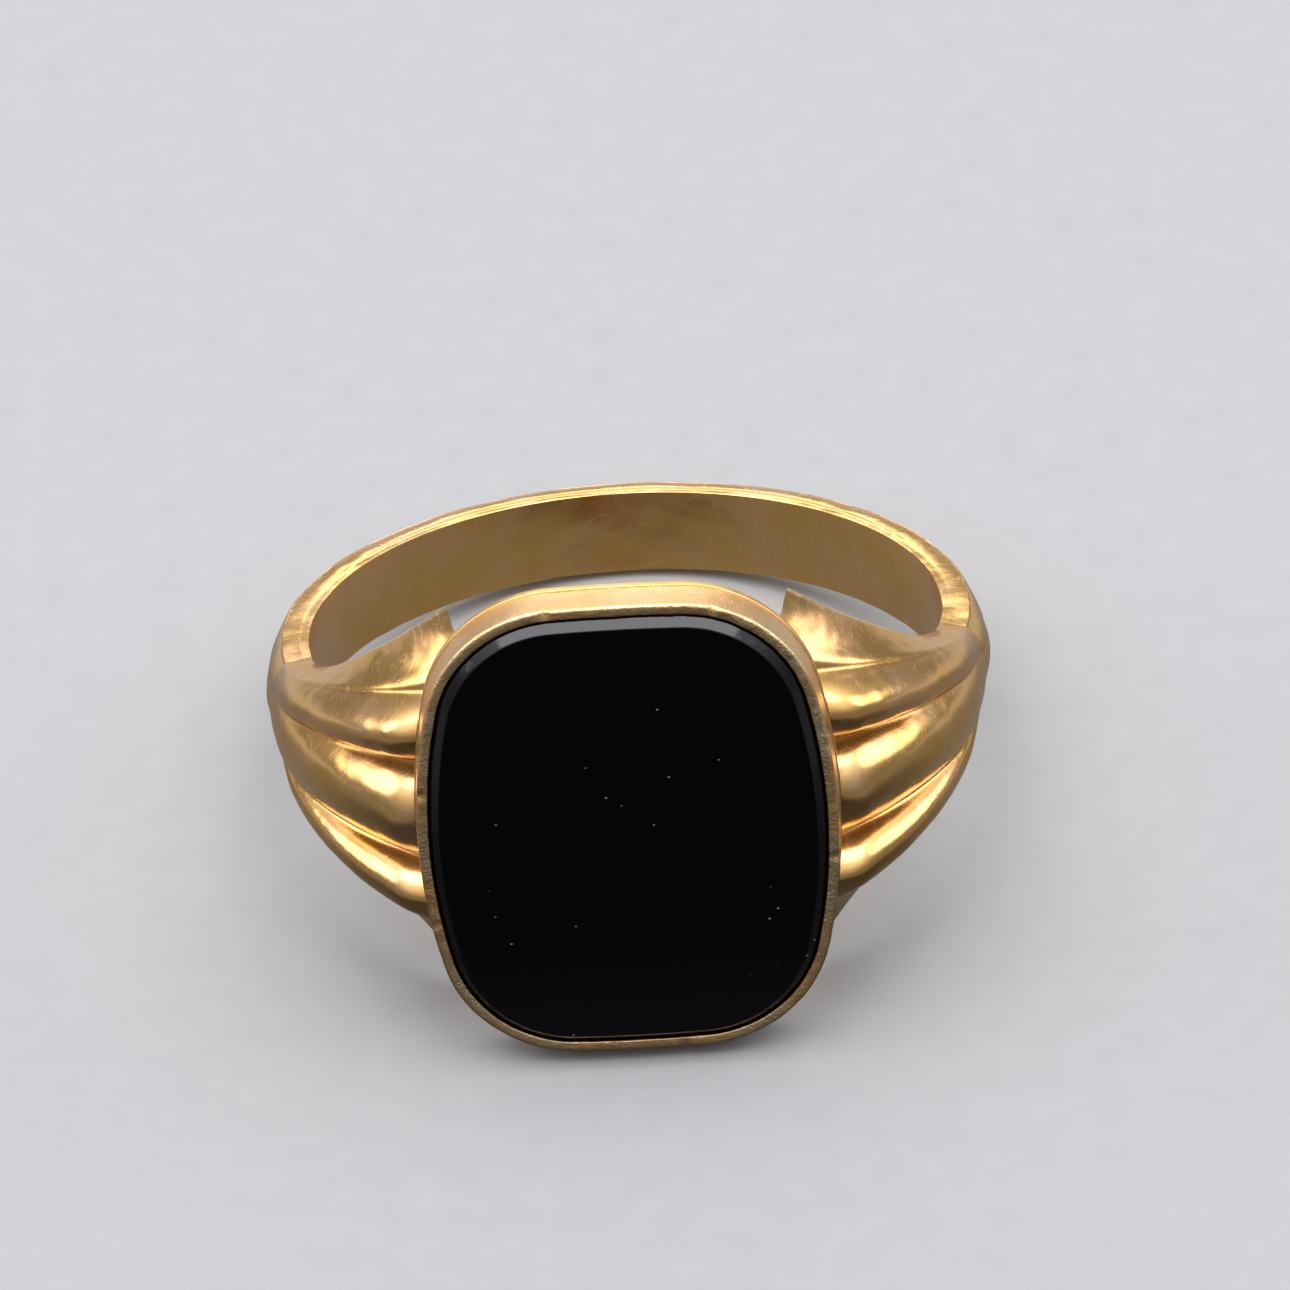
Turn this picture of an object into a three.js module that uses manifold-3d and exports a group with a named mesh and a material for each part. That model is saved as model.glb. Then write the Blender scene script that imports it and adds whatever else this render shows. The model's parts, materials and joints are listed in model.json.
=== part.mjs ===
// Signet ring: a plain gold band with fluted shoulders, and a black onyx tablet in a rubbed-over setting.
// Millimetres, +Z up. The ring lies on its side, at rest on the lower edge of its setting and on the lower
// edge of the back of its band, with the tablet towards -Y. The origin is the middle of its footprint.
//
// Every piece is drawn in the ring's own frame: the finger axis is Z, the head of the ring is at -Y, and
// angles round the finger are measured from the head.
import * as THREE from 'three';
import { mergeVertices } from 'three/addons/utils/BufferGeometryUtils.js';
import Module from 'manifold-3d';

const { degToRad, lerp, smoothstep } = THREE.MathUtils;

// ---- Driving dimensions -------------------------------------------------------------------------------

const BORE_RADIUS = 9.1;          // finger size
const JOINT_GAP = 0.03;           // left between pieces that are soldered or set together
const EASED_EDGE = 0.06;          // filed off the arrises of the back plate

// The tablet's visible outline, a cushion made of four gentle arcs joined by four round corners.
const TABLET_HALF_WIDTH = 5.485;
const TABLET_HALF_LENGTH = 6.47;
const SIDE_ARC_RADIUS = 16.6;
const END_ARC_RADIUS = 48.3;
const CORNER_RADIUS = 3.49;

// The head, as distances outside the tablet's visible outline.
const GIRDLE_OVERLAP = 0.08;      // the tablet runs this far under the rubbed-over lip
const WALL_INNER = GIRDLE_OVERLAP + JOINT_GAP;
const RIM_OUTER = 0.31;
const WALL_BASE_OUTER = 0.36;
const PLATE_OUTER = 0.4;
const BEARER_INNER = -0.85;
const TABLE_INSET = -0.28;        // the flat table starts this far inside the visible outline
const LIP_INNER = 0.02;           // the rubbed-over lip ends this far outside it
const LIP_ROUND = 0.06;           // width of the lip's rounded inner edge
const RIM_ROUND = 0.1;            // width of the rim's rounded outer edge

// The head, as distances in front of the finger axis.
const PLATE_BACK = 9.8;
const PLATE_FRONT = 10.05;
const BEARER_FRONT = 10.35;
const GIRDLE_FRONT = 11.0;
const LIP_BACK = 11.14;           // where the lip's inner edge meets the stone's bevel
const RIM_FRONT = 11.2;
const TABLE_FRONT = 11.4;

// The band.
const BAND_HALF_WIDTH = 1.3;
const BAND_BACK_RADIUS = 10.0;    // outside, at the back of the finger
const BAND_SIDE_RADIUS = 10.4;    // outside, where the shoulders begin
const BAND_BACK_CROWN = 0.15;     // how far the outside rounds over towards its edges, at the back
const BAND_SIDE_CROWN = 0.5;      // and where the shoulders begin

// The shoulders.
const SHOULDER_JOINT_ANGLE = degToRad(80);
const SHOULDER_HEAD_ANGLE = degToRad(31);
const SHOULDER_BLANK_ANGLE = degToRad(16);  // the uncut shoulder runs on to here, inside the head
const WING_SPREAD = 4.25;         // added half width of the bore edge at the head
const WING_SPREAD_POWER = 1.46;   // how late the wings open out, from the joint to the head
const WING_EDGE = 0.26;           // thickness of the wing's thin edge
const WING_HOLLOW = 0.35;         // how far the wing's slope sags, as a share of its drop
const RIB_INSET = 0.04;           // at the joint, the creases lie this far inside the band's edges
const RIB_SPREAD = 2.2;           // added half width of the ribbed face at the head
const GROOVE_HALF_SPACING = 1.5;  // of the two grooves, at the head
const GROOVE_HALF_SPACING_AT_JOINT = 0.42;
const GROOVE_SPREAD_POWER = 0.6;
const SHOULDER_RADIUS = 10.63;    // of the middle of the ribbed face, without its ribs
const FACE_LEVEL = 0.4;           // how far from joint to head that radius is reached
const SHOULDER_CROWN = 0.1;       // how far that face rounds over towards its creases, at the head
const RIB_HEIGHT = 1.28;          // of the ribs above that face, at the head
const RIB_HEIGHT_AT_JOINT = 0.05;
const RIB_HEIGHT_POWER = 1.5;
const RIB_TIP_FALL = 0.45;        // share of their height that the ribs lose at their rounded tips
const RIB_TIP = [0.92, 1.1];      // where that starts and ends, from 0 at the joint to 1 at the head
const RIB_ARC = degToRad(68);     // half angle of each rib's round back
const WING_END = [4.74, -7.98];   // where the wing's end edge leaves the bore
const WING_END_AT_HEAD = [4.13, -9.44];


// Tool shapes and steps.
const CLEARANCE_REACH = 2;        // the head's clearance runs on this far in front of its rim
const CUTTER_SIZE = 20;
const MERGE_TOLERANCE = 1e-4;
const OUTLINE_STEPS = 72;
const SHOULDER_STEPS = 22;
const BAND_STEPS = 44;
const BAND_ACROSS_STEPS = 4;
const RIB_STEPS = 6;
const WING_STEPS = 2;

// ---- Materials ----------------------------------------------------------------------------------------

const gold = (name, color, roughness) =>
  new THREE.MeshStandardMaterial({ name, color, roughness, metalness: 1 });

const polishedGold = gold('polished_gold', 0xd9a45b, 0.22);
const brushedGold = gold('brushed_gold', 0xd8b377, 0.38);
const innerGold = gold('inner_gold', 0xb98443, 0.45);

const stone = (name, color, roughness) =>
  new THREE.MeshStandardMaterial({ name, color, roughness, metalness: 0 });

const onyx = stone('onyx', 0x050506, 0.04);
const cement = stone('cement', 0x5a3a22, 0.8);

// ---- Cushion-shaped pieces of the head ----------------------------------------------------------------

// The cushion outline at a distance outside the tablet's. Growing every arc's radius by the same amount
// keeps the arcs tangent, so the outlines are exactly parallel.
function cushionOutline(offset) {
  const sideCentre = TABLET_HALF_WIDTH - SIDE_ARC_RADIUS;
  const endCentre = TABLET_HALF_LENGTH - END_ARC_RADIUS;
  const toSide = SIDE_ARC_RADIUS - CORNER_RADIUS;
  const toEnd = END_ARC_RADIUS - CORNER_RADIUS;

  // The corner's centre is toSide away from the side arc's centre and toEnd away from the end arc's.
  const span = Math.hypot(sideCentre, endCentre);
  const along = (toSide ** 2 - toEnd ** 2 + span ** 2) / (2 * span);
  const across = Math.sqrt(toSide ** 2 - along ** 2);
  const cx = sideCentre - (sideCentre * along + endCentre * across) / span;
  const cy = (endCentre * along - sideCentre * across) / span;

  const sideAngle = Math.atan2(cy, cx - sideCentre);
  const endAngle = Math.atan2(cy - endCentre, cx);
  const side = SIDE_ARC_RADIUS + offset;
  const end = END_ARC_RADIUS + offset;
  const corner = CORNER_RADIUS + offset;

  const outline = new THREE.Path();
  outline.absarc(sideCentre, 0, side, -sideAngle, sideAngle);
  outline.absarc(cx, cy, corner, sideAngle, endAngle);
  outline.absarc(0, endCentre, end, endAngle, Math.PI - endAngle);
  outline.absarc(-cx, cy, corner, Math.PI - endAngle, Math.PI - sideAngle);
  outline.absarc(-sideCentre, 0, side, Math.PI - sideAngle, Math.PI + sideAngle);
  outline.absarc(-cx, -cy, corner, Math.PI + sideAngle, Math.PI + endAngle);
  outline.absarc(0, -endCentre, end, Math.PI + endAngle, 2 * Math.PI - endAngle);
  outline.absarc(cx, -cy, corner, -endAngle, -sideAngle);
  return outline;
}

// A profile of [offset, distance in front of the finger axis] pairs, carried round the cushion outline. A
// lathe makes the mesh, and its round rings are then set to cushion outlines. AXIS is the middle. Profiles
// run from the front of a piece, down its outside, to its back.
const AXIS = 'axis';
function cushionPiece(profile) {
  const turned = profile.map(([offset, front]) => new THREE.Vector2(offset === AXIS ? 0 : 1, front));
  const rings = profile.map(([offset]) => (
    offset === AXIS ? null : cushionOutline(offset).getSpacedPoints(OUTLINE_STEPS)));
  const geometry = new THREE.LatheGeometry(turned, OUTLINE_STEPS);
  const position = geometry.attributes.position;
  for (let step = 0; step <= OUTLINE_STEPS; step += 1) {
    profile.forEach(([, front], row) => {
      const point = rings[row] ? rings[row][OUTLINE_STEPS - step] : { x: 0, y: 0 };
      position.setXYZ(step * profile.length + row, point.x, -front, point.y);
    });
  }
  return geometry;
}

function tabletGeometry() {
  return cushionPiece([
    [AXIS, TABLE_FRONT],
    [TABLE_INSET, TABLE_FRONT],
    [GIRDLE_OVERLAP, GIRDLE_FRONT],
    [GIRDLE_OVERLAP, BEARER_FRONT + 2 * JOINT_GAP],
    [GIRDLE_OVERLAP - JOINT_GAP, BEARER_FRONT + JOINT_GAP],
    [AXIS, BEARER_FRONT + JOINT_GAP],
  ]);
}

function colletWallGeometry() {
  const base = PLATE_FRONT + JOINT_GAP;
  return cushionPiece([
    [LIP_INNER, RIM_FRONT - LIP_INNER],
    [LIP_INNER + LIP_ROUND, RIM_FRONT],
    [RIM_OUTER - RIM_ROUND, RIM_FRONT],
    [RIM_OUTER, RIM_FRONT - RIM_ROUND],
    [WALL_BASE_OUTER, base],
    [WALL_INNER, base],
    [WALL_INNER, GIRDLE_FRONT + JOINT_GAP],
    [LIP_INNER, LIP_BACK],
    [LIP_INNER, RIM_FRONT - LIP_INNER],
  ]);
}

function bearerRingGeometry() {
  const base = PLATE_FRONT + JOINT_GAP;
  return cushionPiece([
    [BEARER_INNER, BEARER_FRONT],
    [WALL_INNER - JOINT_GAP, BEARER_FRONT],
    [WALL_INNER - JOINT_GAP, base],
    [BEARER_INNER, base],
    [BEARER_INNER, BEARER_FRONT],
  ]);
}

function beddingGeometry() {
  return cushionPiece([
    [AXIS, BEARER_FRONT],
    [BEARER_INNER - JOINT_GAP, BEARER_FRONT],
    [BEARER_INNER - JOINT_GAP, PLATE_FRONT + JOINT_GAP],
    [AXIS, PLATE_FRONT + JOINT_GAP],
  ]);
}

function backPlateGeometry() {
  return cushionPiece([
    [AXIS, PLATE_FRONT],
    [PLATE_OUTER - EASED_EDGE, PLATE_FRONT],
    [PLATE_OUTER, PLATE_FRONT - EASED_EDGE],
    [PLATE_OUTER, PLATE_BACK + EASED_EDGE],
    [PLATE_OUTER - EASED_EDGE, PLATE_BACK],
    [AXIS, PLATE_BACK],
  ]);
}

// The whole head, a joint gap larger all round, which the shoulders are fitted to.
function headClearanceGeometry() {
  return cushionPiece([
    [AXIS, RIM_FRONT + CLEARANCE_REACH],
    [RIM_OUTER + JOINT_GAP, RIM_FRONT + CLEARANCE_REACH],
    [RIM_OUTER + JOINT_GAP, RIM_FRONT],
    [WALL_BASE_OUTER + JOINT_GAP, PLATE_FRONT + JOINT_GAP],
    [PLATE_OUTER + JOINT_GAP, PLATE_FRONT + JOINT_GAP],
    [PLATE_OUTER + JOINT_GAP, PLATE_BACK - JOINT_GAP],
    [AXIS, PLATE_BACK - JOINT_GAP],
  ]);
}

// ---- Band and shoulders -------------------------------------------------------------------------------

// A box of grid faces bent round the finger. place(along, across, out) gives the angle, radius and height
// of a grid point, with along and out from 0 to 1 and across from -1 to 1.
function bentBox(alongSteps, acrossSteps, place) {
  const geometry = new THREE.BoxGeometry(1, 2, 1, alongSteps, acrossSteps, 1);
  const position = geometry.attributes.position;
  for (let i = 0; i < position.count; i += 1) {
    const { angle, radius, height } = place(position.getX(i) + 0.5, position.getY(i), position.getZ(i) + 0.5);
    position.setXYZ(i, Math.sin(angle) * radius, -Math.cos(angle) * radius, height);
  }
  return geometry;
}

function shankGeometry() {
  const start = SHOULDER_JOINT_ANGLE + JOINT_GAP / BAND_SIDE_RADIUS;
  return bentBox(BAND_STEPS, BAND_ACROSS_STEPS, (along, across, out) => {
    const angle = lerp(start, 2 * Math.PI - start, along);
    const fromBack = Math.abs(angle - Math.PI) / (Math.PI - start);
    const crown = lerp(BAND_BACK_CROWN, BAND_SIDE_CROWN, fromBack ** 3);
    const outside = lerp(BAND_BACK_RADIUS, BAND_SIDE_RADIUS, fromBack ** 2) - crown * across ** 2;
    return { angle, radius: lerp(BORE_RADIUS, outside, out), height: across * BAND_HALF_WIDTH };
  });
}

// The shoulder's measures at an angle from the head. Each fades from its size at the head to the band's.
function shoulderSection(angle) {
  const toHead = (SHOULDER_JOINT_ANGLE - angle) / (SHOULDER_JOINT_ANGLE - SHOULDER_HEAD_ANGLE);
  const fade = (power) => Math.max(toHead, 0) ** power;
  const roundedTip = 1 - RIB_TIP_FALL * smoothstep(toHead, ...RIB_TIP);
  return {
    boreEdge: BAND_HALF_WIDTH + RIB_INSET + WING_SPREAD * fade(WING_SPREAD_POWER),
    ribEdge: BAND_HALF_WIDTH - RIB_INSET + RIB_SPREAD * fade(1),
    groove: lerp(GROOVE_HALF_SPACING_AT_JOINT, GROOVE_HALF_SPACING, fade(GROOVE_SPREAD_POWER)),
    middleRadius: lerp(BAND_SIDE_RADIUS, SHOULDER_RADIUS, smoothstep(toHead, 0, FACE_LEVEL)),
    crown: lerp(BAND_SIDE_CROWN, SHOULDER_CROWN, Math.max(toHead, 0)),
    ribHeight: lerp(RIB_HEIGHT_AT_JOINT, RIB_HEIGHT * roundedTip, fade(RIB_HEIGHT_POWER)),
  };
}

// The crowned face that the ribs stand on.
function faceRadius(height, section) {
  return section.middleRadius - section.crown * (height / section.ribEdge) ** 2;
}

// One round-backed rib between two heights: across runs from -1 to 1 over it.
function ribPoint(low, high, across, section) {
  const turn = across * RIB_ARC;
  const back = (Math.cos(turn) - Math.cos(RIB_ARC)) / (1 - Math.cos(RIB_ARC));
  const height = (low + high) / 2 + (high - low) / 2 * Math.sin(turn) / Math.sin(RIB_ARC);
  return { height, radius: faceRadius(height, section) + section.ribHeight * back };
}

// The outside of a shoulder: the middle rib, an outer rib on each side of it, then the sloping wings. The
// grid's rows are shared out so that the grooves and creases fall on rows.
function shoulderSurface(angle, across) {
  const section = shoulderSection(angle);
  const row = Math.abs(across) * (1.5 * RIB_STEPS + WING_STEPS);
  const side = Math.sign(across);
  let point;
  if (row <= RIB_STEPS / 2) {
    point = ribPoint(-section.groove, section.groove, 2 * row / RIB_STEPS, section);
  } else if (row <= 1.5 * RIB_STEPS) {
    point = ribPoint(section.groove, section.ribEdge, 2 * (row - RIB_STEPS) / RIB_STEPS, section);
  } else {
    const down = (row - 1.5 * RIB_STEPS) / WING_STEPS;
    const crease = faceRadius(section.ribEdge, section);
    const hollow = WING_HOLLOW * down * (1 - down) * (crease - BORE_RADIUS);
    point = {
      height: lerp(section.ribEdge, section.boreEdge, down),
      radius: lerp(crease, BORE_RADIUS + WING_EDGE, down) - hollow,
    };
  }
  return { height: side * point.height, radius: point.radius };
}

function shoulderBlank() {
  const rows = 2 * (1.5 * RIB_STEPS + WING_STEPS);
  return bentBox(SHOULDER_STEPS, rows, (along, across, out) => {
    const angle = lerp(SHOULDER_BLANK_ANGLE, SHOULDER_JOINT_ANGLE, along);
    const surface = shoulderSurface(angle, across);
    return { angle, radius: lerp(BORE_RADIUS, surface.radius, out), height: surface.height };
  });
}

// A block that covers everything on the head side of the wing's end edge.
function wingEndCutter() {
  const [x0, y0] = WING_END;
  const [x1, y1] = WING_END_AT_HEAD;
  const cutter = new THREE.BoxGeometry(CUTTER_SIZE, CUTTER_SIZE, CUTTER_SIZE);
  cutter.translate(-CUTTER_SIZE / 2, 0, 0);
  cutter.rotateZ(Math.atan2(x0 - x1, y1 - y0) + Math.PI);
  cutter.translate(x0, y0, 0);
  return cutter;
}

const manifold = await Module();
manifold.setup();

function toSolid(geometry) {
  const bare = geometry.clone();
  bare.deleteAttribute('normal');
  bare.deleteAttribute('uv');
  const merged = mergeVertices(bare, MERGE_TOLERANCE);
  return new manifold.Manifold(new manifold.Mesh({
    numProp: 3,
    vertProperties: merged.attributes.position.array,
    triVerts: new Uint32Array(merged.index.array),
  }));
}

function toGeometry(solid) {
  const { vertProperties, triVerts } = solid.getMesh();
  const geometry = new THREE.BufferGeometry();
  geometry.setAttribute('position', new THREE.BufferAttribute(vertProperties, 3));
  geometry.setIndex(new THREE.BufferAttribute(triVerts, 1));
  geometry.computeVertexNormals();
  return geometry;
}

function shoulderGeometry() {
  return toGeometry(toSolid(shoulderBlank())
    .subtract(toSolid(headClearanceGeometry()))
    .subtract(toSolid(wingEndCutter())));
}

// The other shoulder: mirrored left to right, with the corners of its faces in the other order.
function mirrored(geometry) {
  const other = geometry.clone().scale(-1, 1, 1);
  const index = other.index.array;
  for (let i = 0; i < index.length; i += 3) {
    [index[i], index[i + 1]] = [index[i + 1], index[i]];
  }
  other.computeVertexNormals();
  return other;
}

// ---- Assembly -----------------------------------------------------------------------------------------

const ringFrame = new THREE.Group();
function add(name, geometry, material) {
  const mesh = new THREE.Mesh(geometry, material);
  mesh.name = name;
  ringFrame.add(mesh);
}

const rightShoulder = shoulderGeometry();
add('onyx_tablet', tabletGeometry(), onyx);
add('bedding_cement', beddingGeometry(), cement);
add('bearer_ring', bearerRingGeometry(), innerGold);
add('collet_wall', colletWallGeometry(), brushedGold);
add('back_plate', backPlateGeometry(), innerGold);
add('shoulder_right', rightShoulder, polishedGold);
add('shoulder_left', mirrored(rightShoulder), polishedGold);
add('shank', shankGeometry(), polishedGold);

// The ring tips until the lower edge of its back plate and the lower edge of its band meet the floor.
const plateDrop = TABLET_HALF_LENGTH + PLATE_OUTER - BAND_HALF_WIDTH;
ringFrame.rotation.x = -Math.atan2(plateDrop, PLATE_BACK + BAND_BACK_RADIUS);

const signetRing = new THREE.Group();
signetRing.add(ringFrame);
signetRing.updateMatrixWorld(true);
const box = new THREE.Box3().setFromObject(ringFrame, true);
ringFrame.position.set(0, -(box.min.y + box.max.y) / 2, -box.min.z);

export default signetRing;
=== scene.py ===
# %% [markdown]
# # A gold signet ring with an onyx tablet
# A bench-made ring of eight pieces: a plain narrow band, two fluted shoulders, and a head that holds a
# flat black stone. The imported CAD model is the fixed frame. This script builds the fine pieces round it
# and gives every surface its finish.

# %% Load the frame
import json
import math

import bpy
from mathutils import Matrix, Vector


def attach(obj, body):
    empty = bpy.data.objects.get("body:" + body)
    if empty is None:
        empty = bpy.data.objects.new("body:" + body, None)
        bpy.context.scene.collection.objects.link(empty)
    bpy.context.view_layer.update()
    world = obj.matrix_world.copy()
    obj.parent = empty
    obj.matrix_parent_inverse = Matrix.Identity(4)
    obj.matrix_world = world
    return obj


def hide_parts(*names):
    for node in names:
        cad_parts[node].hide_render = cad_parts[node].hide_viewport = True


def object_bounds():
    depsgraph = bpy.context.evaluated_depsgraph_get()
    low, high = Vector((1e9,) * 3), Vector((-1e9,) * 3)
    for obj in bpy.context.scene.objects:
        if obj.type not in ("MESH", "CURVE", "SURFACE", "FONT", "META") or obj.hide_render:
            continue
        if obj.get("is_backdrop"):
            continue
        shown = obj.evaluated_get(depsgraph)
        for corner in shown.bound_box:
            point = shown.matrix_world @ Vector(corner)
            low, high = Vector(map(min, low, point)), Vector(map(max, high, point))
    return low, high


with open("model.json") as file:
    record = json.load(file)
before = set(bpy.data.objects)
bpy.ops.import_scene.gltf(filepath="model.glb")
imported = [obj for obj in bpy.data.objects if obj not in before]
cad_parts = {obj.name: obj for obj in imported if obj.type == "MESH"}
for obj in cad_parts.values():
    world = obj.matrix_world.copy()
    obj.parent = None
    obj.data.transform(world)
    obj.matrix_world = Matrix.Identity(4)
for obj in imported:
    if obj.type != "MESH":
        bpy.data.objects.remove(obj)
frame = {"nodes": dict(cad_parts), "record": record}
cad_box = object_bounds()
nodes = frame["nodes"]
print("CAD box", [[round(v, 5) for v in corner] for corner in cad_box])

# %% [markdown]
# ## The ring's own frame
# A jeweller measures a ring from the finger: the finger axis is Z, the head is at -Y, and angles run round
# the finger from the head. The pieces are modelled that way, in millimetres. The ring on the floor is
# tipped on to the lower edges of its head and its band, and the record says by how much: it states the
# direction of the stone's flat table, and a point on it. A last step moves each finished piece there.

# %% Where the ring lies
MM = 0.001
TABLE_FRONT = 11.4                # the stone's table, in front of the finger axis
TABLE_POINT = Vector((1.0, -TABLE_FRONT, 1.5))

table_mount = frame["record"]["mounts"][0]
tip_angle = -math.atan2(table_mount["axis"][2], -table_mount["axis"][1])
tip = Matrix.Rotation(tip_angle, 4, "X")
ring_place = Vector(table_mount["pos_m"]) - (tip @ TABLE_POINT) * MM
ring_frame = Matrix.Translation(ring_place) @ tip
print("tipped by", round(math.degrees(tip_angle), 2), "degrees; bore centre at", ring_place)

# %% [markdown]
# ## Small tools
# An operator works on whatever is selected, so each helper first makes its piece the only one. One helper
# picks vertices by their place, another applies the modifiers in their order.

# %% Selecting and applying
SMOOTH_ANGLE = math.radians(38)   # arrises sharper than this stay crisp


def only(piece):
    """Makes a piece the one selected, active object."""
    if bpy.context.mode != "OBJECT":
        bpy.ops.object.mode_set(mode="OBJECT")
    bpy.ops.object.select_all(action="DESELECT")
    if piece:
        piece.select_set(True)
        bpy.context.view_layer.objects.active = piece


def edit(piece, mode="VERT", action="DESELECT"):
    """Opens a piece in edit mode with nothing selected, or everything."""
    only(piece)
    bpy.ops.object.mode_set(mode="EDIT")
    bpy.ops.mesh.select_mode(type=mode)
    bpy.ops.mesh.select_all(action=action)


def pick(piece, keep):
    """Opens a piece in edit mode with the vertices selected whose place passes a test."""
    only(piece)
    corners = piece.data.vertices
    for vertex in corners:
        vertex.select = keep(vertex.co)
    for edge in piece.data.edges:
        edge.select = all(corners[i].select for i in edge.vertices)
    for face in piece.data.polygons:
        face.select = all(corners[i].select for i in face.vertices)
    bpy.ops.object.mode_set(mode="EDIT")
    bpy.ops.mesh.select_mode(type="VERT")


def apply_modifiers(piece):
    """Applies every modifier of a piece, first to last."""
    only(piece)
    for modifier in list(piece.modifiers):
        bpy.ops.object.modifier_apply(modifier=modifier.name)


# %% [markdown]
# Two more tools finish a piece. The first turns all its faces outwards, because spins and mirrors can
# turn a shape inside out. The second also smooths the shading except over sharp arrises, and moves the
# mesh from the ring's frame to its place, which leaves the object itself at the origin, unturned.

# %% Facing outwards and settling
def face_outwards(piece):
    """Turns every face of a closed piece outwards."""
    edit(piece, action="SELECT")
    bpy.ops.mesh.normals_make_consistent(inside=False)
    only(piece)


def settle(piece):
    """Gives a finished piece its shading, and moves its mesh, in millimetres, to its place."""
    face_outwards(piece)
    bpy.ops.object.shade_smooth_by_angle(angle=SMOOTH_ANGLE)
    piece.matrix_world = ring_frame @ Matrix.Scale(MM, 4)
    bpy.ops.object.transform_apply(location=True, rotation=True, scale=True)
    size = tuple(round(v / MM, 2) for v in piece.dimensions)
    print(piece.name, len(piece.data.polygons), "faces", size, "mm")


# %% [markdown]
# ## The cushion outline
# The stone is a cushion: two bowed sides and two flatter ends, joined by round corners. Every part of the
# head follows the same outline at its own distance. A profile is drawn beside the middle of the right
# side and spun three times: round the centre of the side's arc, then the corner's, then the end's. The
# arcs share their tangents where they meet, so the profile keeps its distance all the way. Two mirrors
# turn that quarter into the whole.

# %% Where the arcs have their centres
HALF_WIDTH, HALF_LENGTH = 5.485, 6.47
SIDE_RADIUS, END_RADIUS, CORNER_RADIUS = 16.6, 48.3, 3.49

side_centre = Vector((HALF_WIDTH - SIDE_RADIUS, 0, 0))
end_centre = Vector((0, 0, HALF_LENGTH - END_RADIUS))
to_side, to_end = SIDE_RADIUS - CORNER_RADIUS, END_RADIUS - CORNER_RADIUS
span = (end_centre - side_centre).length
along = (to_side ** 2 - to_end ** 2 + span ** 2) / (2 * span)
across = math.sqrt(to_side ** 2 - along ** 2)
towards = (end_centre - side_centre) / span
corner_centre = side_centre + towards * along + Vector((-towards.z, 0, towards.x)) * across
side_angle = math.atan2(corner_centre.z, corner_centre.x - side_centre.x)
end_angle = math.atan2(corner_centre.z - end_centre.z, corner_centre.x)
print("corner centre", corner_centre, "and the side's arc", round(math.degrees(side_angle), 1), "degrees")


# %% Drawing a profile
def draw_profile(name, profile):
    """A chain of edges through (distance outside the outline, distance in front of the finger axis)."""
    points = [Vector((HALF_WIDTH + offset, -front, 0)) for offset, front in profile]
    only(None)
    bpy.ops.mesh.primitive_plane_add(size=1, location=(0, 0, 0))
    piece = bpy.context.object
    piece.name = name
    edit(piece, action="SELECT")
    bpy.ops.mesh.merge(type="CENTER")
    bpy.ops.transform.translate(value=points[0])
    for start, end in zip(points, points[1:]):
        bpy.ops.mesh.extrude_vertices_move(TRANSFORM_OT_translate={"value": end - start})
    bpy.ops.mesh.select_all(action="SELECT")
    return piece


def rounded(corner, before, after, radius, steps=4):
    """Points of a small round at a profile's corner, between the points before and after it."""
    corner, before, after = Vector(corner), Vector(before), Vector(after)
    start = corner + (before - corner).normalized() * radius
    end = corner + (after - corner).normalized() * radius
    points = []
    for i in range(steps + 1):
        t = i / steps
        points.append(tuple(start * (1 - t) ** 2 + corner * 2 * t * (1 - t) + end * t ** 2))
    return points


# %% Sweeping it round the cushion
COARSE_STEP, FINE_STEP = 0.12, 0.06   # millimetres of arc between two copies of a profile
MERGE_DISTANCE = 0.002


def sweep_cushion(name, profile, step=COARSE_STEP):
    """Three spins make a quarter of the cushion, and two mirrors the rest."""
    piece = draw_profile(name, profile)
    arcs = [
        (side_centre, side_angle, SIDE_RADIUS),
        (corner_centre, end_angle - side_angle, CORNER_RADIUS),
        (end_centre, math.pi / 2 - end_angle, END_RADIUS),
    ]
    for centre, angle, radius in arcs:
        steps = max(2, round(radius * angle / step))
        bpy.ops.mesh.spin(steps=steps, angle=angle, center=centre, axis=(0, 1, 0))
    only(piece)
    mirror = piece.modifiers.new("halves", "MIRROR")
    mirror.use_axis = (True, False, True)
    mirror.merge_threshold = MERGE_DISTANCE
    apply_modifiers(piece)
    edit(piece, action="SELECT")
    bpy.ops.mesh.remove_doubles(threshold=MERGE_DISTANCE)
    only(piece)
    print(name, "swept from", len(profile), "points of a profile")
    return piece


def cap_ends(piece):
    """Fills each open loop of a swept piece with one flat face."""
    edit(piece, "EDGE")
    bpy.ops.mesh.select_non_manifold()
    bpy.ops.mesh.edge_face_add()
    only(piece)


# %% [markdown]
# ## The onyx tablet
# The stone is a flat slab with a polished table and one bevel all round, ground down to the girdle that
# the gold is rubbed over. A sawn slab with a bevelled rim would do, but the spun profile gives every
# arris its tiny round as well. The row of faces just inside the arris lies flat, so the mirror of the
# table stays true right up to its edge.

# %% Onyx tablet
GIRDLE_OVERLAP, GIRDLE_FRONT, TABLET_BACK = 0.08, 11.0, 10.38
TABLE_INSET, FLAT_ROW, BACK_INSET = -0.28, 0.12, -0.3
ARRIS_ROUND, BACK_ROUND = 0.03, 0.04

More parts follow.
